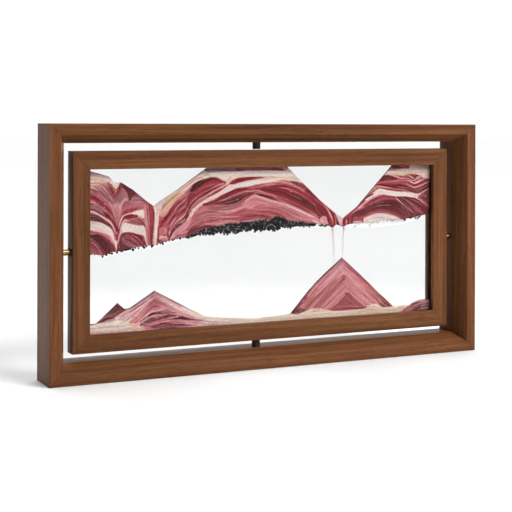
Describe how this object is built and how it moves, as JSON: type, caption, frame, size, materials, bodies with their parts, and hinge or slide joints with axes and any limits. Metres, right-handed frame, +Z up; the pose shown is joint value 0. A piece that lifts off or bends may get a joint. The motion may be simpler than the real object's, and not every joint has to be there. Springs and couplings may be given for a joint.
{
  "type": "moving sand art frame",
  "caption": "Standing wooden frame whose inner frame flips on two side pins; between its panes, layered sand sinks through bubbles and clear liquid into dunes.",
  "frame": {"origin": "middle of the outer frame's base, on the surface it stands on", "axes": "+X along the frame to the viewer's right, +Y from the front face to the back, +Z up"},
  "size_m": [0.408, 0.036, 0.21],
  "materials": {
    "walnut": "satin lacquered walnut, straight fine grain",
    "spline_wood": "unfinished hardwood",
    "bronze": "dull bronze",
    "dark_bronze": "dark brown, satin",
    "magnet": "nickel plated",
    "nylon": "black nylon",
    "glass": "clear polished glass",
    "sealant": "dark sealing strip",
    "liquid": "clear liquid",
    "sand_red": "fine sand in crimson, maroon, pink and cream layers",
    "sand_rose": "fine sand in rose and mauve layers",
    "sand_cream": "fine cream sand",
    "bubble_dark": "small round bubbles, dark",
    "bubble_clear": "small round bubbles, clear"
  },
  "bodies": {
    "outer_frame": {"outer_top_rail": "walnut", "outer_bottom_rail": "walnut", "outer_left_stile": "walnut", "outer_right_stile": "walnut", "outer_corner_key_tl": "spline_wood", "outer_corner_key_tr": "spline_wood", "outer_corner_key_bl": "spline_wood", "outer_corner_key_br": "spline_wood", "left_pivot_pin": "bronze", "right_pivot_pin": "bronze", "top_catch_post": "dark_bronze", "bottom_catch_post": "dark_bronze", "top_post_magnet": "magnet", "bottom_post_magnet": "magnet"},
    "sand_frame": {"inner_top_rail": "walnut", "inner_bottom_rail": "walnut", "inner_left_stile": "walnut", "inner_right_stile": "walnut", "inner_corner_key_tl": "spline_wood", "inner_corner_key_tr": "spline_wood", "inner_corner_key_bl": "spline_wood", "inner_corner_key_br": "spline_wood", "top_keeper_magnet": "magnet", "bottom_keeper_magnet": "magnet", "left_pivot_bush": "nylon", "right_pivot_bush": "nylon", "front_glass": "glass", "rear_glass": "glass", "seal_top": "sealant", "seal_bottom": "sealant", "seal_left": "sealant", "seal_right": "sealant", "clear_liquid": "liquid", "upper_sand": "sand_red", "lower_sand_cone": "sand_red", "lower_sand_dune": "sand_rose", "lower_sand_bank": "sand_rose", "sand_stream_left": "sand_rose", "sand_stream_right": "sand_rose", "lower_sand_bed": "sand_cream", "bubbles_left": "bubble_dark", "bubbles_middle": "bubble_dark", "bubbles_right": "bubble_clear"}
  },
  "joints": [
    {"name": "sand_frame_flip", "type": "hinge", "parent": "outer_frame", "child": "sand_frame", "pos_m": [0, 0.002, 0.105], "axis": [1, 0, 0], "continuous": true}
  ]
}
